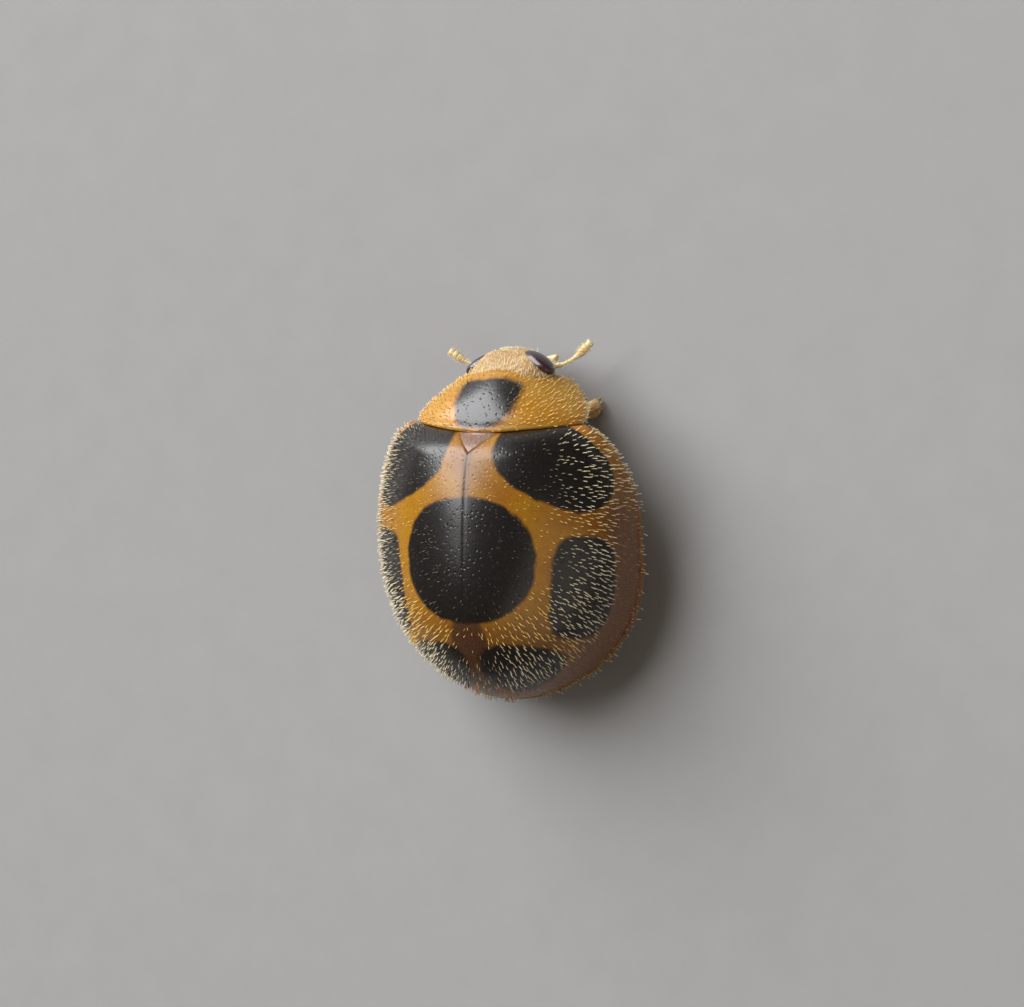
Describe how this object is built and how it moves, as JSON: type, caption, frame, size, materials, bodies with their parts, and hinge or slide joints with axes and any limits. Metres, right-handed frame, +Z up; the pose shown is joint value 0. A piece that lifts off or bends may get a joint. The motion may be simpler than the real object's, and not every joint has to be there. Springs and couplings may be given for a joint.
{
  "type": "ladybird beetle",
  "caption": "Hairy leaf-eating ladybird at rest, orange with large dark spots, legs drawn in under the shell; a still life-size model that stands on its feet.",
  "frame": {"origin": "on the ground under the middle of the body", "axes": "+Z up, head toward -Y, +X to the beetle's left"},
  "size_m": [0.005, 0.0063, 0.003],
  "materials": {
    "wing_case": "punctured orange-yellow cuticle with large brown-black spots, satin gloss",
    "pronotum": "golden orange cuticle with a brown-black middle patch, satin gloss",
    "scutellum": "brown cuticle, satin gloss",
    "head": "pale amber cuticle, satin",
    "eye": "fine facets, dark purple-brown, glossy",
    "mouthparts": "brown cuticle, satin",
    "limb": "amber cuticle, satin, with darker claws",
    "underside": "brown cuticle, satin, finely hairy",
    "hair": "short pale cream hairs, soft sheen"
  },
  "bodies": {
    "root": {"elytron_left": "wing_case", "elytron_right": "wing_case", "pronotum": "pronotum", "scutellum": "scutellum", "head": "head", "eye_left": "eye", "eye_right": "eye", "mouthparts": "mouthparts", "palp_left": "limb", "palp_right": "limb", "antenna_left": "limb", "antenna_right": "limb", "prothorax": "underside", "thorax": "underside", "abdomen": "underside", "front_femur_left": "limb", "front_femur_right": "limb", "front_tibia_left": "limb", "front_tibia_right": "limb", "front_tarsus_left": "limb", "front_tarsus_right": "limb", "mid_femur_left": "limb", "mid_femur_right": "limb", "mid_tibia_left": "limb", "mid_tibia_right": "limb", "mid_tarsus_left": "limb", "mid_tarsus_right": "limb", "hind_femur_left": "limb", "hind_femur_right": "limb", "hind_tibia_left": "limb", "hind_tibia_right": "limb", "hind_tarsus_left": "limb", "hind_tarsus_right": "limb"}
  },
  "joints": []
}
